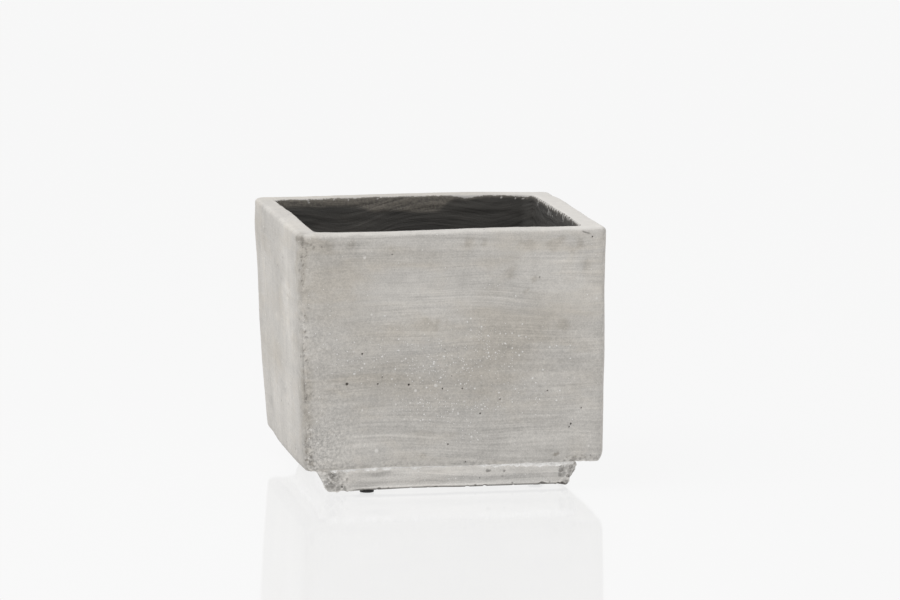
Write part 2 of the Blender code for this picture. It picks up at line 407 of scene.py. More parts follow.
def scattered_marks():
    """Marks for the three walls that carry few or none in the lists above."""
    rng = random.Random(SEED)
    pinholes, grains, warm, dark, light, specks = [], [], [], [], [], []
    for side in (RIGHT, REAR, LEFT):
        for _ in range(14):
            middle = (rng.uniform(-62, 62), rng.uniform(4, 100))
            pinholes.append((side, *middle, rng.uniform(0.3, 0.6)))
        for _ in range(16):
            middle = (rng.uniform(-62, 62), rng.uniform(3, 100))
            grains.append((side, *middle, rng.uniform(0.35, 0.6)))
        for areas, count, tall in ((warm, 8, 7), (dark, 11, 4), (light, 8, 6), (specks, 6, 8)):
            for _ in range(count if side != LEFT else count // 3):
                middle = (rng.uniform(-60, 60), rng.uniform(5, 102))
                size = (rng.uniform(6, 24), rng.uniform(0.3, 1) * tall)
                areas.append((side, *middle, *size, rng.uniform(0.4, 0.9)))
    return pinholes, grains, warm, dark, light, specks


def area_mask(points, areas):
    """The summed strength of soft, hand-brushed areas at each point."""
    side, along, up = on_sides(points)
    along = along + 9 * lumps(points, (14, 14, 3), seed=1)
    up = up + 5 * lumps(points, (22, 22, 5), seed=2)
    total = np.zeros(len(points))
    for wall, centre_along, centre_up, half_wide, half_tall, strength in areas:
        distance = ((along - centre_along) / half_wide) ** 2 + ((up - centre_up) / half_tall) ** 2
        total += np.where(side == wall, strength * np.exp(-distance), 0)
    return total


def spots(marks, margin_mm):
    return [(place(*mark[:3]), (mark[3] + margin_mm) * MM) for mark in marks]


def spot_mask(points, marks, soft=0.35):
    """1 inside a round mark and 0 outside, with a soft border."""
    mask = np.zeros(len(points))
    for mark in marks:
        distance = np.linalg.norm(points - np.array(place(*mark[:3])), axis=1) / (mark[3] * MM)
        mask = np.maximum(mask, 1 - smoothstep(1 - soft, 1 + soft, distance))
    return mask


def front_mask(points, marks, soft):
    """Like spot_mask, for round marks on the front that may run on round its upright edges."""
    mask = np.zeros(len(points))
    x, up = points[:, 0] / MM, (points[:, 2] - BODY_LOW.z) / MM
    for _, mark_along, mark_up, radius in marks:
        distance = np.hypot(x - mark_along, up - mark_up) / radius
        mask = np.maximum(mask, 1 - smoothstep(1 - soft, 1 + soft, distance))
    return mask * smoothstep(-58 * MM, -62 * MM, points[:, 1])


def scoop(points, centre, radius, roughness_seed):
    """Push points that lie inside a rough ball out to its surface, as a chip does."""
    offset = points - np.array(centre)
    distance = np.linalg.norm(offset, axis=1)
    rough = radius * (1 + 0.35 * lumps(points, 1.1, roughness_seed))
    inside = distance < rough
    moved = points.copy()
    moved[inside] += offset[inside] / distance[inside, None] * (rough - distance)[inside, None]
    return moved, inside


def upright_edge_mask(points, width):
    """1 on the four upright edges, falling to 0 at a distance of width."""
    least = np.minimum(np.abs(points[:, 0]), np.abs(points[:, 1]))
    most = np.maximum(np.abs(points[:, 0]), np.abs(points[:, 1]))
    return smoothstep(width, 0, most - least)


# ---------------- the casting

def casting_rings():
    """The casting's section, from the middle of its underside to the middle of its cavity floor."""
    base, rim = BODY_LOW.z, BODY_HIGH.z
    rings = [(h * MM, 1.2 * MM, base) for h in (52, 56, 59, 61, 62.5)]
    rings += arc_rows(BASE_HALF - BASE_ROUND, UPRIGHT_ROUND - BASE_ROUND, base + BASE_ROUND,
                      BASE_ROUND, -90, 0, 7)
    low, high = BASE_ROUND, BODY_HEIGHT - RIM_ROUND
    steps = round((high - low) / (1 * MM))
    heights = [low + (high - low) * i / steps for i in range(1, steps)]
    rings += [(wall_half(height), UPRIGHT_ROUND, base + height) for height in heights]
    rings += arc_rows(RIM_HALF - RIM_ROUND, UPRIGHT_ROUND - RIM_ROUND, rim - RIM_ROUND,
                      RIM_ROUND, 0, 90, 7)
    flat = WALL - RIM_ROUND - MOUTH_ROUND
    for share in (0.15, 0.3, 0.45, 0.6, 0.75, 0.9):
        corner = (1 - share) * (UPRIGHT_ROUND - RIM_ROUND) + share * (MOUTH_CORNER + MOUTH_ROUND)
        rings.append((RIM_HALF - RIM_ROUND - flat * share, corner, rim))
    for angle in (math.radians(18 * i) for i in range(6)):
        inward = MOUTH_ROUND * (1 - math.sin(angle))
        down = MOUTH_ROUND * (1 - math.cos(angle))
        rings.append((MOUTH_HALF + inward, MOUTH_CORNER + inward, rim - down))
    lean = INNER_DRAFT / CAVITY_DEPTH
    for depth_mm in (2.5, 3.5, 4.5, 5.5, 6.5, 8, 10, 13, 18, 30, 50, 70, 90):
        depth = depth_mm * MM
        rings.append((MOUTH_HALF - lean * depth, MOUTH_CORNER, rim - depth))
    rings.append((MOUTH_HALF - INNER_DRAFT - 1 * MM, MOUTH_CORNER, COAT_LOW.z - 0.3 * MM))
    return rings


def edge_line_at(up):
    """Where a thin dark line runs beside the front wall's left edge, in millimetres along."""
    return -66.9 - 2.1 * up / TALL_MM


def edge_pits():
    """Small dark pits that crowd along the front wall's left edge."""
    rng = random.Random(SEED + 1)
    pits = []
    for low, high, count in ((50, 105, 46), (3, 15, 26), (15, 50, 8)):
        for _ in range(count):
            up = rng.uniform(low, high)
            pits.append((FRONT, edge_line_at(up) + rng.gauss(0.7, 0.9), up, rng.uniform(0.2, 0.42)))
    return pits


def casting_mesh(pinholes, grains):
    """The casting's plain shape, with finer faces where small marks are cut into it."""
    bm, underside, _ = ring_stack(casting_rings(), (146, 116, 100, 110), corner_steps=9)
    cut_into_grid(bm, underside, 4 * MM)
    refine_near(bm, spots(pinholes, 0.7) + spots(grains, 0.6), cuts=3)
    edge_line = [(place(FRONT, edge_line_at(up), up), 2.2 * MM) for up in range(2, 108)]
    side, along, up, _ = CRACK_MM
    crack_line = [(place(side, along + shift, up), 1.4 * MM) for shift in (-2, 0, 2)]
    refine_near(bm, edge_line + crack_line + spots(CHIPS_MM + SMUDGES_MM, 0.8), cuts=2)
    return bm


def shape_casting(skin, outside, edges, base_wear):
    """The casting's points with its waves, worn edges, lean and crooked walls."""
    rest, up, x, y = skin.rest, skin.up, skin.x, skin.y
    push = 0.55 * MM * lumps(rest, 42, 3) + 0.16 * MM * lumps(rest, 11, 4)
    push += 0.05 * MM * lumps(rest, (9, 9, 1.6), 5)
    push *= outside
    push -= edges * np.abs(lumps(rest, (2.2, 2.2, 3.4), 6)) * 0.4 * MM
    push -= base_wear * np.abs(lumps(rest, 2.6, 7)) * 0.5 * MM
    centred = rest + (1 - outside)[:, None] * (shift_mouth(rest) - rest)
    moved = askew(centred) + skin.normals * push[:, None]

    # The left wall turns in towards its lower rear corner, and swells just below the rim there.
    leftness = smoothstep(-45, -68, x) * outside
    rearward = np.clip((y + 40) / 108, 0, 1)
    tuck = TUCK * np.clip(1 - up / TALL_MM, 0, 1) ** 1.7 * rearward
    swell = 0.4 * MM * bell(up, 98, 9) * smoothstep(-20, 64, y)
    moved[:, 0] += leftness * (tuck - swell - BULGE * smoothstep(106, 90, up))

    # The front left edge is worn most at its top, and the rim was struck off by hand.
    worn_corner = np.exp(-(((x + 69) ** 2 + (y + 69) ** 2) / 16)) * smoothstep(75, 107, up)
    moved[:, :2] += (0.9 * MM * worn_corner * outside)[:, None]
    moved[:, 2] += rim_rise(rest) * smoothstep(100, TALL_MM, up)

    # The bottom edge rises with the joint, and both of its front corners are cut in.
    moved = lift_front(moved, smoothstep(10, 0, up))
    low_left = np.exp(-(((x + 68) ** 2 + (y + 68) ** 2) / 7)) * smoothstep(5, 0, up)
    moved[:, 2] += 1.2 * MM * low_left * outside
    low_right = smoothstep(64, 70, x) * smoothstep(-40, -64, y) * smoothstep(6, 0, up)
    moved[:, 0] -= 1.4 * MM * low_right
    moved[:, 2] += 0.5 * MM * smoothstep(30, 68, x) * smoothstep(9, 0, up)
    return moved


def chip_casting(skin, moved):
    """The points with the chips scooped out, and how dark each one is painted: dirt, and painted
    shade in the hollow.
    """
    grime_and_shade = np.zeros(len(moved))
    patches = np.clip(0.22 + 0.5 * lumps(skin.rest, 1.5, 18), 0, 1)
    for number, (side, along, up, radius, deep) in enumerate(CHIPS_MM):
        outward = Vector((0, -1, -0.8 if up < TALL_MM / 2 else 0.8)).normalized()
        centre = place(side, along, up) + turn_to(side) @ outward * (radius - deep) * MM
        centre = lift_front(askew(np.array([centre])), smoothstep(10, 0, up))[0]
        moved, inside = scoop(moved, centre, radius * MM, 20 + number)
        grime_and_shade = np.maximum(grime_and_shade, patches * inside)
    return moved, grime_and_shade


def crack_mask(skin):
    """1 in the short slit under the rim, which slopes down to the right."""
    side, along, up, half_length = CRACK_MM
    shift = skin.along - along
    slit = np.exp(-(((skin.up - up + 0.3 * shift) / 0.3) ** 2))
    return slit * smoothstep(half_length, half_length * 0.5, np.abs(shift)) * (skin.side == side)


def dark_edge_lines(skin):
    """A thin dark line down the front wall's left edge, and a soft darker band beside it."""
    rest, up = skin.rest, skin.up
    off_line = skin.x - edge_line_at(up)
    strength = bell(up, 44, 14) + 0.5 * bell(up, 13, 7)
    line = bell(off_line, 0, 0.24) * smoothstep(-60, -64, skin.y) * strength
    line *= np.clip(0.75 + 0.9 * lumps(rest, 9, 12) + 0.6 * lumps(rest, 2, 13), 0, 1.2)
    beside = 1.7 * bell(off_line, 0.6, 2.3) * smoothstep(-50, -69, skin.y)
    patches = lumps(rest, (30, 30, 24), 15) + 0.9 * lumps(rest, 3, 16)
    beside *= np.clip(0.75 + patches, 0, 2) * smoothstep(1, 6, up)
    return line, beside


def make_casting(material):
    """The cast body, with every mark that the photo shows and scattered ones out of its sight."""
    pinholes, grains, warm, dark, light, specks = scattered_marks()
    pinholes = PINHOLES_MM + pinholes
    grains = PALE_GRAINS_MM + grains
    bm = casting_mesh(pinholes, grains)
    skin = Surface(bm)
    rest, side, up = skin.rest, skin.side, skin.up
    outside = smoothstep(MOUTH_HALF + 0.5 * MM, MOUTH_HALF + 2 * MM, skin.reach)
    edges = upright_edge_mask(rest, 3.2 * MM) * outside
    base_wear = smoothstep(4, 0.5, up) * outside
    holes = spot_mask(rest, pinholes)
    pale = spot_mask(rest, grains)
    crack = crack_mask(skin)
    line, beside = dark_edge_lines(skin)

    moved = shape_casting(skin, outside, edges, base_wear)
    moved += skin.normals * ((0.12 * pale - 0.9 * holes) * MM)[:, None]
    moved, chip_grime_and_shade = chip_casting(skin, moved)
    moved -= skin.normals * ((0.5 * crack + 0.15 * line) * MM)[:, None]
    move_to(bm, moved)

    uneven = rest + 1 * MM * lumps(rest, 1.6, 17)[:, None]
    smudged = front_mask(uneven, SMUDGES_MM, soft=0.6)
    pitted = front_mask(uneven, edge_pits(), soft=0.5)
    ragged = rest + 1.8 * MM * lumps(rest, 2.4, 21)[:, None]
    blotched = front_mask(ragged, BLOTCHES_MM, soft=0.6)

    at_front = side == FRONT
    on_brushed_wall = at_front | (side == REAR)
    top = smoothstep(106.6, 107.9, up + 0.5 * lumps(rest, 9, 14))
    inner = (1 - outside) * smoothstep(107.6, 107, up)
    # Painted shade: the lowest few millimetres of the walls are darkened, standing for the shade
    # along the body's underside.
    painted_shade_low_edge = smoothstep(3.5, 1, up) * outside
    # Painted highlight: the bottom edge at the right end of the front is made paler, standing for
    # light falling on it.
    painted_light_low_right = 0.5 * smoothstep(2.4, 1.2, up) * smoothstep(44, 60, skin.along) * at_front
    rim_pale = top * (0.34 - 0.06 * (side == LEFT) + 0.55 * smoothstep(30, 60, skin.x))
    left_end = smoothstep(-38, -64, skin.along) * at_front
    # Painted light: the front's right upright edge is made paler, so that its rounding, turned away
    # from the light, doesn't look shaded.
    painted_light_right_edge = smoothstep(63.5, 68.5, skin.x) * smoothstep(-50, -66, skin.y)
    warm = area_mask(rest, WARM_AREAS_MM + warm) + 0.8 * top * (side == REAR)
    shade = area_mask(rest, LIGHT_AREAS_MM + light) - area_mask(rest, DARK_AREAS_MM + dark)
    brushed = np.clip(0.95 + 1.3 * lumps(rest, (34, 34, 22), 19), 0.45, 1.3)
    brushed *= np.where(on_brushed_wall, 1 - 0.7 * left_end, 0.2)
    grainy = left_end * (0.5 + 1.4 * smoothstep(32, 8, up))
    worn_edges = 0.4 * edges * (1 - top) * smoothstep(-60, -50, skin.x)
    # Pinholes, chips and the slit are painted dark: partly dirt, partly painted shade in the hollows.
    grime_and_shade_marks = (0.85 * holes, chip_grime_and_shade, 0.55 * crack, 0.42 * line, 0.36 * smudged, 0.5 * pitted)
    masks = {
        "warm": warm + 0.5 * beside + 0.6 * blotched + 1.2 * smudged,
        "shade": shade - beside - 0.9 * painted_shade_low_edge - 0.95 * blotched + 1.1 * painted_light_right_edge,
        "specks": area_mask(rest, SPECK_AREAS_MM + specks),
        "grime_and_shade": np.maximum.reduce(grime_and_shade_marks),
        "pale": np.maximum.reduce([pale, rim_pale, 0.35 * inner, painted_light_low_right]),
        "worn": np.maximum(worn_edges, 0.4 * base_wear),
        "brushed": brushed * (1 - 0.7 * top),
        "grainy": grainy + 0.15 + 0.4 * smoothstep(78, 58, up),
        "upright": np.where(on_brushed_wall, 0, 1) * (1 - top),
    }
    return finish_piece("concrete_casting", bm, material, "planter_body", masks)


# ---------------- the waterproof coat

def make_coat(material):
    """The brushed coat: a thin closed skin that lies on the cavity's walls and floor."""
    rim = BODY_HIGH.z
    floor = COAT_LOW.z + 0.5 * MM
    lean = INNER_DRAFT / CAVITY_DEPTH
    film = 0.25 * MM
    back = 0.4 * MM

    def half_at(z):
        return MOUTH_HALF - lean * (rim - z)

    def over_edge(angle, out):
        reach = MOUTH_ROUND + out
        half = MOUTH_HALF + MOUTH_ROUND - reach * math.cos(angle)
        return (half, MOUTH_CORNER + half - MOUTH_HALF, rim - MOUTH_ROUND + reach * math.sin(angle))

    rings = [(half_at(floor) - 6 * MM, 2 * MM, floor - 0.4 * MM),
             (half_at(floor) + back, MOUTH_CORNER, floor + 4 * MM)]
    rings += [over_edge(math.radians(angle), -back) for angle in (0, 30)]
    rings += [over_edge(math.radians(angle), film) for angle in (55, 42, 28, 14, 0)]
    first_steps = (0.5, 1, 1.5, 2, 2.5, 3, 3.6, 4.2, 5, 6, 7, 8, 9, 10)
    depths = [MOUTH_ROUND + step * MM for step in first_steps]
    depths += [depths[-1] + 1.5 * MM * step for step in range(1, 60)]
    rings += [(half_at(rim - depth) - film, MOUTH_CORNER - film, rim - depth)
              for depth in depths if rim - depth > floor + 5 * MM]
    fillet = 4 * MM
    for angle in (math.radians(15 * i) for i in range(7)):
        inward = film + fillet * (1 - math.cos(angle))
        rise = fillet * (1 - math.sin(angle))
        rings.append((half_at(floor) - inward, MOUTH_CORNER, floor + rise))
    bm, _, floor_face = ring_stack(rings, (96, 220, 250, 96), corner_steps=8)
    cut_into_grid(bm, floor_face, 2.5 * MM)

    skin = Surface(bm)
    rest, side, along = skin.rest, skin.side, skin.along
    at_rear = side == REAR
    depth = (rim - rest[:, 2]) / MM
    strokes = 0.3 * MM * (lumps(rest, (16, 16, 2.6), 30) + 0.5)
    strokes *= smoothstep(1.5, 5, depth)
    moved = askew(shift_mouth(rest)) + skin.normals * strokes[:, None]
    moved[:, 2] += rim_rise(rest) * smoothstep(8, 0, depth)
    move_to(bm, moved)

    # How far below the rim the coat starts, in millimetres, on the front, right, rear and left.
    start = np.choose(side, [1.2, 0.5, 0.34, 0.9])
    start = start + 0.3 * lumps(rest, (11, 11, 40), 33)
    start += (1.2 * bell(along, -29, 5.5) + 0.8 * smoothstep(-44, -58, along)) * at_rear
    gaps = np.zeros(len(rest))
    for wall, gap_along, gap_depth, radius in COAT_GAPS_MM:
        distance = np.hypot(along - gap_along, depth - gap_depth) / radius
        gaps = np.maximum(gaps, (side == wall) * smoothstep(1.2, 0.6, distance))
    patchy = np.clip(1 + 2.4 * lumps(rest, (8, 8, 60), 34), 0.15, 2)
    # How deep the thin, paler band under the rim reaches on the rear wall.
    wavy_along = along + 5 * lumps(rest, 12, 32)
    band = 3 + 3 * smoothstep(24, 10, wavy_along) - 7.5 * smoothstep(-14, -30, wavy_along)
    masks = {
        "below_edge": depth - start,
        "feather": np.choose(side, [0.2, 0.34, 0.07, 0.2]) * patchy,
        "level": smoothstep(rim - floor - 7 * MM, rim - floor - 4 * MM, rim - rest[:, 2]),
        "band": np.where(at_rear, band - (depth - start), -4),
        "gaps": gaps,
        "dragged": (side == RIGHT) * np.clip(patchy - 0.5, 0, 1),
    }
    return finish_piece("brushed_coat", bm, material, "waterproof_coat", masks)


# ---------------- mortar, foot and pads

def make_mortar(material):
    """Mortar squeezed out round the joint, in beads and smears."""
    half = MORTAR_HIGH.x - 0.3 * MM
    low, high = MORTAR_LOW.z - 0.5 * MM, BODY_LOW.z + 0.25 * MM
    rings = [(half - 12 * MM, 1 * MM, low), (half - 3 * MM, 1 * MM, low)]
    for share in (i / 7 for i in range(8)):
        out = 0.5 * MM * math.sin(math.pi * share)
        rings.append((half + out, 1.4 * MM, low + (high - low) * share))
    rings += [(half - 3 * MM, 1 * MM, high), (half - 12 * MM, 1 * MM, high)]
    bm, _, _ = ring_stack(rings, (220, 180, 180, 180), corner_steps=4)
    skin = Surface(bm)
    rest, x = skin.rest, skin.x
    rim = smoothstep(half - 2 * MM, half - 0.5 * MM, skin.reach)
    beads = np.clip(lumps(rest, (3.6, 3.6, 30), 40) + 0.05, 0, 1) * 1.5
    for along, half_wide, out in MORTAR_BEADS_MM:
        beads += out * bell(x, along, half_wide) * (rest[:, 1] < -half + 3 * MM)
    push = rim * MM * (beads + 0.5 * lumps(rest, 1.3, 41) - 0.1) * smoothstep(57, 50, x)
    moved = lift_front(askew(rest) + skin.normals * push[:, None])
    moved[:, 0] -= 1 * MM * smoothstep(48, 57, x)
    move_to(bm, moved)
    masks = {"pale": np.clip(0.55 + beads * 0.6, 0, 1)}
    return finish_piece("mortar_joint", bm, material, "mortar_bed", masks)


def foot_half(z):
    """Half the foot's width at a height in the frame."""
    return FOOT_HIGH.x - FOOT_DRAFT * (FOOT_HIGH.z - z) / (FOOT_HIGH.z - FOOT_LOW.z)


def foot_mesh():
    base, top = FOOT_LOW.z, FOOT_HIGH.z + 0.3 * MM
    edge = 0.9 * MM
    rings = [(foot_half(base) - inset * MM, 1 * MM, base) for inset in (12, 6, 3.5, 2)]
    rings += arc_rows(foot_half(base) - edge, 0.5 * MM, base + edge, edge, -90, 0, 5)
    steps = 24
    heights = [base + edge + (top - base - 1.5 * edge) * i / steps for i in range(1, steps)]
    rings += [(foot_half(z), 1.4 * MM, z) for z in heights]
    rings += [(foot_half(top) - inset * MM, 1 * MM, top) for inset in (0.4, 2, 4, 12)]
    bm, underside, _ = ring_stack(rings, (300, 190, 150, 190), corner_steps=7)
    cut_into_grid(bm, underside, 4 * MM)
    return bm


def foot_tone(skin, up, front):
    """How much lighter or darker each point of the foot is; its front carries the smears seen."""
    x = skin.x
    smears = np.zeros(len(x))
    wander = 2.5 * lumps(skin.rest, 6, 57)
    for along, height, half_wide, half_tall, tone in FOOT_SMEARS_MM:
        distance = ((x - along + wander) / half_wide) ** 2
        distance += ((up - height + 0.25 * wander) / half_tall) ** 2
        smears += front * tone * np.exp(-distance)
    smears -= 0.9 * bell(up, 3.3, 1.2)
    bright_line = bell(up, 1.2, 0.3) * smoothstep(-44, -36, x) * smoothstep(24, 10, x)
    smears += 2.2 * front * bright_line
    for along, half_wide, tone in FOOT_COLUMNS_MM:
        column = bell(x + 0.25 * wander, along, half_wide)
        smears += front * tone * column * smoothstep(2.5, 4.5, up) * smoothstep(9.5, 8, up)
    return smears + 0.8 * lumps(skin.rest, (22, 22, 1.9), 56)


def make_foot(material):
    """The foot slab: sides that lean out towards the body, smears, and crumbled corners."""
    bm = foot_mesh()
    skin = Surface(bm)
    rest, x = skin.rest, skin.x
    up = (rest[:, 2] - FOOT_LOW.z) / MM
    half = foot_half(rest[:, 2])
    rim = smoothstep(half - 3 * MM, half - 1 * MM, skin.reach)

    def corner(to_x, to_y, reach_mm):
        distance = np.hypot(rest[:, 0] - to_x * half, rest[:, 1] - to_y * half) / MM
        return smoothstep(reach_mm, reach_mm * 0.35, distance)

    crumbled = np.maximum.reduce([
        corner(-1, -1, 13), 0.7 * corner(1, -1, 8), 0.5 * corner(1, 1, 6), 0.5 * corner(-1, 1, 7),
    ])
    rough = np.abs(lumps(rest, 2.6, 52)) * 1.5 + np.abs(lumps(rest, 1.1, 53)) * 0.8
    nicks = np.clip(lumps(rest, 2.6, 54) - 0.14, 0, 1) * 2
    push = 0.5 * MM * lumps(rest, 24, 50)
    push += 0.14 * MM * lumps(rest, (12, 12, 1.5), 51)
    push -= crumbled * rim * (rough - 0.85) * MM
    push -= smoothstep(1.6, 0.3, up) * rim * nicks * MM
    moved = askew(rest) + skin.normals * push[:, None]
    # Its left side isn't square to the front, and its right side stands out at the top.
    swing = -1.4 * MM + 0.051 * MM * np.clip(skin.y + 52, 0, 66)
    moved[:, 0] += swing * smoothstep(-40, -53, x)
    moved[:, 0] += 0.9 * MM * smoothstep(45, 56, x) * smoothstep(2, 7, up)
    front_left = smoothstep(-48, -55, x) * (skin.y < 0)
    moved[:, 0] -= front_left * (0.8 + 1.1 * smoothstep(3.5, 7, up)) * MM

    grime_and_shade = np.clip(crumbled * rim * (rough - 0.45) * 1.1, 0, 0.4)
    # A dark line along the foot's bottom edge: partly a painted shadow of the gap under the foot,
    # partly dirt on the edge.
    grime_and_shade += 0.8 * smoothstep(0.8, 0.35, up) * rim * smoothstep(-48, -41, x)
    # Each hollow is painted dark too: partly dirt, partly painted shade in the hollow.
    for number, (along, height, radius, dirt_and_shade) in enumerate(FOOT_HOLLOWS_MM):
        z = FOOT_LOW.z + height * MM
        centre = askew(np.array([[along * MM, -foot_half(z) - 0.42 * radius * MM, z]]))[0]
        moved, inside = scoop(moved, centre, radius * MM, 60 + number)
        grime_and_shade = np.maximum(grime_and_shade, dirt_and_shade * inside)
    moved = lift_front(moved, np.clip(up / 9, 0, 1))
    move_to(bm, moved)

    mortar_wash = smoothstep(6.8, 8.8, up + 1.2 * lumps(rest, 9, 58))
    masks = {
        "warm": np.clip(0.3 + lumps(rest, 20, 55), 0, 1) * 0.5,
        "shade": foot_tone(skin, up, rest[:, 1] < -0.9 * half),
        "specks": 0.25 + 0.4 * crumbled,
        "grime_and_shade": grime_and_shade,
        "pale": np.clip(0.65 * mortar_wash + 0.15 * crumbled, 0, 1),
        "worn": 0.8 * crumbled,
        "brushed": 1 - 0.7 * crumbled,
    }
    return finish_piece("foot_slab_cast", bm, material, "foot_slab", masks)


def make_pad(node, material):
    """A stick-on disc whose edge bulges under the weight, with a slightly dished underside."""
    low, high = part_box(node)
    centre = (low + high) / 2
    radius = (high.x - low.x) / 2
    thick = FOOT_LOW.z + 0.1 * MM - low.z
    profile = [(0.35, 0.06), (0.75, 0.02), (0.9, 0), (0.97, 0.05), (1, 0.22), (1.01, 0.45),
               (1, 0.7), (0.965, 0.88), (0.93, 0.97), (0.85, 1), (0.4, 1)]
    steps = 72
    bm = bmesh.new()
    rows = []
    for reach, rise in profile:
        row = []
        for i in range(steps):
            angle = 2 * math.pi * i / steps
            out = radius * reach * (1 + 0.012 * math.sin(3 * angle + centre.x * 900))
            x = centre.x + out * math.cos(angle)
            y = centre.y + out * math.sin(angle)
            row.append(bm.verts.new((x, y, low.z + rise * thick)))
        rows.append(row)
    skin_rows(bm, rows)
    return finish_piece(node + "_disc", bm, material, node)


# ---------------- materials

class Shader:
    """A short way to write a node material whose shader is one Principled BSDF."""

    def __init__(self, name):
        self.material = bpy.data.materials.new(name)
        self.material.use_nodes = True
        self.tree = self.material.node_tree
        self.bsdf = self.tree.nodes["Principled BSDF"]
        self.coords = self.node("ShaderNodeTexCoord").outputs["Object"]

    def node(self, kind, **settings):
        made = self.tree.nodes.new(kind)
        for name, value in settings.items():
            setattr(made, name, value)
        return made

    def put(self, value, socket):
        """Link a socket, or set a plain value."""
        if isinstance(value, bpy.types.NodeSocket):
            self.tree.links.new(value, socket)
        else:
            socket.default_value = value

    def fill(self, node, **values):
        """Put a value in each named input; an underscore stands for a space."""
        for name, value in values.items():
            self.put(value, node.inputs[name.replace("_", " ")])
        return node

    def mask(self, name):
        return self.node("ShaderNodeAttribute", attribute_name=name).outputs["Fac"]

    def stretched(self, scale, shift=(0, 0, 0), coords=None):
        mapping = self.node("ShaderNodeMapping")
        self.fill(mapping, Vector=coords or self.coords, Scale=scale, Location=shift)
        return mapping.outputs["Vector"]

    def bent(self, scale, rise):
        """Coordinates whose height wanders, so that strokes laid along them curve."""
        made = self.node("ShaderNodeVectorMath", operation="MULTIPLY_ADD")
        wander = self.noise(self.stretched(scale), detail=1)
        for socket, value in zip(made.inputs, (wander, (0, 0, rise), self.coords)):
            self.put(value, socket)
        return made.outputs[0]

    def noise(self, coords, scale=1, detail=3, roughness=0.55, distortion=0):
        texture = self.node("ShaderNodeTexNoise")
        self.fill(texture, Vector=coords, Scale=scale, Detail=detail, Roughness=roughness,
                  Distortion=distortion)
        return texture.outputs["Fac"]

    def cells(self, coords, scale):
        """The distance to the nearest cell's middle, and two random values for that cell."""
        texture = self.fill(self.node("ShaderNodeTexVoronoi"), Vector=coords, Scale=scale)
        split = self.fill(self.node("ShaderNodeSeparateColor"), Color=texture.outputs["Color"])
        return texture.outputs["Distance"], split.outputs[0], split.outputs[1]

    def math(self, operation, *values, clamp=False):
        made = self.node("ShaderNodeMath", operation=operation, use_clamp=clamp)
        for socket, value in zip(made.inputs, values):
            self.put(value, socket)
        return made.outputs[0]

    def times(self, a, b, plus=0, clamp=False):
        """a * b + plus"""
        return self.math("MULTIPLY_ADD", a, b, plus, clamp=clamp)

    def span(self, value, low, high, to_low=0, to_high=1):
        made = self.node("ShaderNodeMapRange", interpolation_type="SMOOTHSTEP")
        self.fill(made, Value=value, From_Min=low, From_Max=high, To_Min=to_low, To_Max=to_high)
        return made.outputs["Result"]

    def mix(self, factor, a, b):
        made = self.node("ShaderNodeMix", data_type="RGBA")
        self.put(factor, made.inputs["Factor"])
        for value, socket in zip((a, b), [s for s in made.inputs if s.type == "RGBA"]):
            self.put(value, socket)
        return next(s for s in made.outputs if s.type == "RGBA")

    def dots(self, scale, share, least):
        """Small round grains; their share of the cells is least, plus share where specks crowd."""
        distance, first, second = self.cells(self.coords, scale)
        wanted = self.times(self.mask("specks"), share, least)
        chosen = self.math("LESS_THAN", first, wanted)
        size = self.times(second, 0.21, 0.08)
        return self.times(self.math("LESS_THAN", distance, size), chosen)

    def bump(self, height, distance, normal=None):
        made = self.fill(self.node("ShaderNodeBump"), Strength=1, Distance=distance, Height=height)
        if normal is not None:
            self.put(normal, made.inputs["Normal"])
        return made.outputs["Normal"]

    def finish(self, colour, roughness, specular, normal):
        self.fill(self.bsdf, Base_Color=colour, Roughness=roughness, Normal=normal,
                  Specular_IOR_Level=specular)
        return self.material


def grey(value, warmth=0):
    """A linear colour with a little more red than blue."""
    return (value * (1 + warmth), value, value * (1 - 1.45 * warmth), 1)


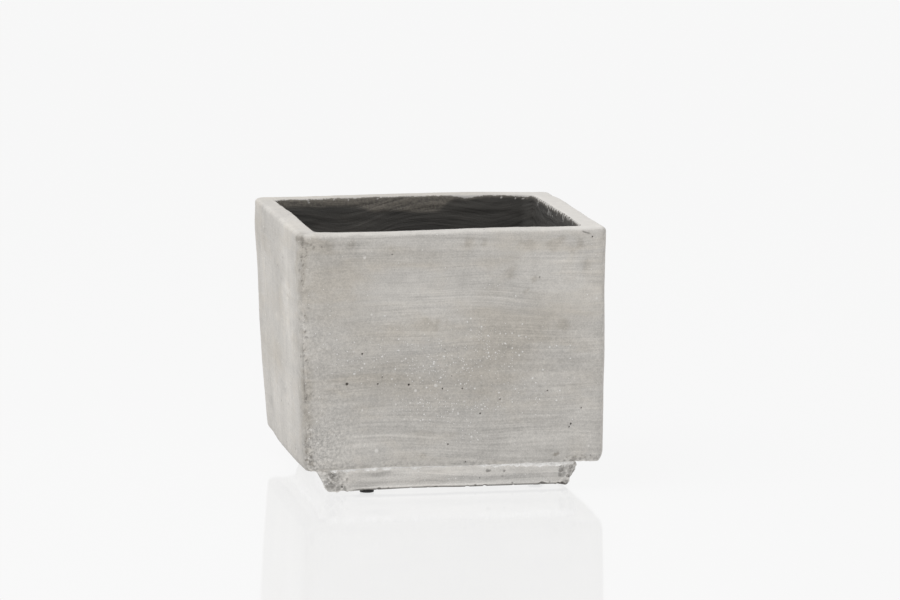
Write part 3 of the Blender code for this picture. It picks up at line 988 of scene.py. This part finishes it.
def cement_material(name, cool, warm, pale, streaks=1, specks=1):
    """Brushed cement: long fine trowel streaks, warm and cool clouds, pale specks, and dirt with
    painted shade in its hollows.
    """
    s = Shader(name)
    bent = s.bent((11, 11, 30), rise=0.016)
    broad = s.noise(s.stretched((9, 9, 260), coords=bent), detail=5, roughness=0.62)
    fine = s.noise(s.stretched((26, 26, 1150), (3, 1, 7), coords=bent), roughness=0.6)
    clouds = s.noise(s.stretched((34, 34, 62), (5, 2, 1)), detail=5, roughness=0.6, distortion=0.6)
    mottle = s.noise(s.coords, scale=210, detail=4, roughness=0.65)
    grain = s.noise(s.coords, scale=1700, detail=2, roughness=0.6)
    rough = s.noise(s.coords, scale=760, roughness=0.6)
    crumbs = s.noise(s.coords, scale=520)
    upright = s.stretched((95, 95, 16), (4, 2, 9))
    upright = s.noise(upright, detail=4, roughness=0.55, distortion=0.6)

    warmth = s.times(s.mask("warm"), 0.95, s.span(clouds, 0.42, 0.75, 0, 0.7))
    warmth = s.math("ADD", warmth, s.span(broad, 0.35, 0.7, -0.18, 0.18), clamp=True)
    colour = s.mix(warmth, cool, warm)

    # The tone that the colour is multiplied by: each texture adds to it where its mask lets it.
    strokes = s.math("ADD", s.span(broad, 0.25, 0.75, -0.07, 0.07),
                     s.span(fine, 0.25, 0.75, -0.09, 0.09))
    tone = s.times(s.mask("shade"), 0.12, 1)
    for texture, mask in (
        (strokes, s.times(s.mask("brushed"), streaks)),
        (s.span(upright, 0.28, 0.72, -0.045, 0.045), s.mask("upright")),
        (s.span(clouds, 0.25, 0.75, -0.055, 0.055), 1),
        (s.span(mottle, 0.25, 0.75, -0.06, 0.06), 1),
        (s.span(grain, 0.25, 0.75, -0.1, 0.1), 1),
        (s.span(rough, 0.32, 0.68, -0.1, 0.1), s.mask("grainy")),
        (s.span(crumbs, 0.35, 0.65, -0.3, 0.28), s.mask("worn")),
    ):
        tone = s.times(texture, mask, tone)
    scaled = s.node("ShaderNodeVectorMath", operation="SCALE")
    s.put(colour, scaled.inputs[0])
    colour = s.fill(scaled, Scale=tone).outputs[0]

    # Pale specks, then the pale rim and grains.
    large_dots = s.dots(640, 0.38 * specks, 0.007 * specks)
    small_dots = s.dots(1050, 0.58 * specks, 0.016 * specks)
    dot = s.math("MAXIMUM", large_dots, small_dots)
    colour = s.mix(s.times(dot, 0.64), colour, grey(0.9, 0.012))
    whitish = s.mix(mottle, grey(pale - 0.07, 0.03), grey(pale + 0.07, 0.03))
    colour = s.mix(s.times(s.mask("pale"), 0.8), colour, whitish)

    # Tiny dark pits, which are commoner where the surface is worn, and the darkening mask: dirt, and
    # painted shade in pinholes, chips, slits and hollows.
    distance, first, second = s.cells(s.stretched((1, 1, 1), (0.31, 0.17, 0.53)), 330)
    rare = s.times(s.mask("worn"), 0.3, 0.022)
    small = s.math("LESS_THAN", distance, s.times(second, 0.19))
    pits = s.times(s.math("LESS_THAN", first, rare), small)
    worn = s.times(s.mask("worn"), s.span(mottle, 0.38, 0.72))
    colour = s.mix(s.times(worn, 0.3), colour, grey(0.22, 0.05))
    dirt_and_shade = s.math("MAXIMUM", s.mask("grime_and_shade"), s.times(pits, 0.75), clamp=True)
    colour = s.mix(dirt_and_shade, colour, grey(0.055, 0.1))

    normal = s.bump(broad, 0.00018 * streaks)
    normal = s.bump(fine, 0.0001 * streaks, normal)
    normal = s.bump(mottle, 0.00018, normal)
    normal = s.bump(s.math("SUBTRACT", dot, pits), 0.00012, normal)
    return s.finish(colour, s.span(mottle, 0.3, 0.7, 0.74, 0.94), 0.25, normal)


def mortar_material():
    """Rough off-white mortar with grey between its beads."""
    s = Shader("bonding_mortar_rough")
    lumpy = s.noise(s.coords, scale=420, detail=5, roughness=0.7)
    sand = s.noise(s.coords, scale=2400, detail=2)
    shade = s.times(s.mask("pale"), s.span(lumpy, 0.3, 0.6, 0.4, 1), clamp=True)
    colour = s.mix(shade, grey(0.5, 0.03), grey(0.92, 0.012))
    colour = s.mix(s.span(sand, 0.6, 0.8, 0, 0.25), colour, grey(0.3, 0.03))
    normal = s.bump(sand, 0.0001, s.bump(lumpy, 0.0004))
    return s.finish(colour, s.span(sand, 0.3, 0.7, 0.85, 0.98), 0.2, normal)


def coat_material():
    """Charcoal waterproofing: arced brush strokes, thin and streaky where it runs out at the top."""
    s = Shader("brushed_waterproofing_film")
    bent = s.bent((14, 14, 20), rise=0.045)
    on_walls = s.noise(s.stretched((20, 20, 420), coords=bent), detail=5, roughness=0.65)
    on_floor = s.noise(s.stretched((22, 330, 30)), detail=5, roughness=0.65, distortion=0.3)
    difference = s.math("SUBTRACT", on_floor, on_walls)
    strokes = s.times(difference, s.mask("level"), on_walls)
    patches = s.noise(s.stretched((22, 22, 40)))
    speckle = s.noise(s.coords, scale=900, roughness=0.7)
    drags = s.noise(s.stretched((520, 520, 120), (2, 4, 6)), detail=4, roughness=0.6)

    dark = s.mix(s.span(strokes, 0.3, 0.7), grey(0.037, 0.048), grey(0.07, 0.055))
    dark = s.mix(s.span(patches, 0.45, 0.75, 0, 0.5), dark, grey(0.09, 0.07))

    # Where the coat is thin: in the band under the rim, and along its ragged upper end.
    depth = s.mask("below_edge")
    reach = s.times(s.span(drags, 0.3, 0.7, -2, 2), s.mask("feather"), depth)
    band = s.math("ADD", s.mask("band"), s.span(patches, 0.35, 0.65, -0.8, 0.8))
    thin = s.math("MAXIMUM", s.span(band, -1.2, 1.2), s.span(reach, 1.6, 0.2, 0, 0.6))
    gritty = s.span(speckle, 0.3, 0.7, -0.28, 0.28)
    cover = s.math("ADD", s.span(strokes, 0.28, 0.66, 0.42, 0.92), gritty)
    colour = s.mix(s.times(thin, cover, clamp=True), dark, grey(0.19, 0.1))

    # Where it is missing: in spots that the brush skipped, and above its end.
    distance, first, _ = s.cells(s.stretched((640, 640, 260), (1, 5, 2)), 1)
    spots_missed = s.times(s.math("LESS_THAN", first, 0.32), s.math("LESS_THAN", distance, 0.34))
    near_end = s.times(s.mask("dragged"), s.span(depth, 5.5, 1.5))
    missed = s.math("MAXIMUM", s.times(spots_missed, near_end), s.mask("gaps"))
    colour = s.mix(missed, colour, grey(0.52, 0.03))
    bare = s.span(s.math("ADD", reach, s.span(speckle, 0.3, 0.7, -0.2, 0.2)), 0.25, -0.25)
    colour = s.mix(bare, colour, grey(0.53, 0.035))

    normal = s.bump(speckle, 0.00012, s.bump(strokes, 0.0005))
    return s.finish(colour, s.span(strokes, 0.3, 0.7, 0.58, 0.82), 0.3, normal)


def rubber_material():
    """Black pad rubber, dusty and faintly pebbled."""
    s = Shader("pad_rubber")
    pebble = s.noise(s.coords, scale=3200, detail=2)
    dust = s.noise(s.coords, scale=600)
    colour = s.mix(s.span(dust, 0.5, 0.8, 0, 0.35), grey(0.012), grey(0.07, 0.03))
    return s.finish(colour, s.span(pebble, 0.3, 0.7, 0.6, 0.85), 0.5, s.bump(pebble, 0.00006))


# ---------------- stage, light and camera

def make_floor():
    """A pale, slightly glossy sweep that glows a little, as an overlit table does."""
    bpy.ops.mesh.primitive_plane_add(size=16, location=(0, 0, 0))
    floor = bpy.context.object
    floor.name = "studio_floor"
    white = (1, 1, 1, 1)
    s = Shader("studio_white")
    haze = s.noise(s.coords, scale=3, detail=2)
    s.fill(s.bsdf, Base_Color=s.mix(haze, grey(0.038), grey(0.044)), Roughness=1,
           Specular_IOR_Level=0, Emission_Color=white, Emission_Strength=0.895)
    gloss = s.fill(s.node("ShaderNodeBsdfGlossy"), Color=white, Roughness=0.07)
    fresnel = s.fill(s.node("ShaderNodeFresnel"), IOR=1.07)
    blend = s.fill(s.node("ShaderNodeMixShader"), Fac=fresnel.outputs["Fac"])
    s.put(s.bsdf.outputs["BSDF"], blend.inputs[1])
    s.put(gloss.outputs["BSDF"], blend.inputs[2])
    s.fill(s.tree.nodes["Material Output"], Surface=blend.outputs["Shader"])
    floor.data.materials.append(s.material)


def make_world():
    """White surroundings for the eye and for reflections, and a softer grey for the fill light."""
    world = bpy.data.worlds.new("soft_white_room")
    world.use_nodes = True
    tree = world.node_tree
    background = tree.nodes["Background"]
    background.inputs["Color"].default_value = (1, 1, 1, 1)
    path = tree.nodes.new("ShaderNodeLightPath")
    strength = tree.nodes.new("ShaderNodeMapRange")
    strength.inputs["To Min"].default_value = 0.96
    strength.inputs["To Max"].default_value = 0.5
    tree.links.new(path.outputs["Is Diffuse Ray"], strength.inputs["Value"])
    tree.links.new(strength.outputs["Result"], background.inputs["Strength"])
    bpy.context.scene.world = world


def make_key_light():
    """One large softbox, high on the left and a little in front."""
    data = bpy.data.lights.new("softbox", "AREA")
    data.shape = "SQUARE"
    data.size = 1.1
    data.energy = 14
    light = bpy.data.objects.new("softbox", data)
    direction = Vector((-0.45, -0.23, 0.86)).normalized()
    light.location = direction * 1.4
    light.rotation_euler = (-direction).to_track_quat("-Z", "Y").to_euler()
    bpy.context.scene.collection.objects.link(light)


def make_camera():
    """A long lens, low and a little to the left of the pot."""
    yaw, pitch, roll = math.radians(9.98), math.radians(8), math.radians(-0.13)
    aim = Vector((0.0105, 0, 0.0791))
    distance = 2.9927
    level = Vector((math.sin(yaw), math.cos(yaw), 0))
    forward = math.cos(pitch) * level - math.sin(pitch) * Vector((0, 0, 1))
    right = Vector((math.cos(yaw), -math.sin(yaw), 0))
    up = right.cross(forward)
    turn = Matrix.Rotation(-roll, 3, forward)
    right, up = turn @ right, turn @ up
    data = bpy.data.cameras.new("camera")
    data.sensor_width = 36
    data.lens = 261
    data.clip_start = 0.05
    data.clip_end = 60
    camera = bpy.data.objects.new("camera", data)
    pose = Matrix((right, up, -forward)).transposed().to_4x4()
    pose.translation = aim - forward * distance
    camera.matrix_world = pose
    bpy.context.scene.collection.objects.link(camera)
    bpy.context.scene.camera = camera


def main():
    make_casting(cement_material("brushed_cement", grey(0.523, 0.04), grey(0.468, 0.068), 0.71))
    make_coat(coat_material())
    make_mortar(mortar_material())
    # The foot's colours are lighter than the body's: it is paler cement, and it is also lightened as
    # painted light against the shade under the body's overhang.
    make_foot(cement_material("foot_cement", grey(0.675, 0.03), grey(0.612, 0.042), 0.9,
                              streaks=0.9, specks=0.8))
    rubber = rubber_material()
    for node in PADS:
        make_pad(node, rubber)
    make_floor()
    make_world()
    make_key_light()
    make_camera()
    bpy.context.scene.view_settings.view_transform = "Standard"


main()
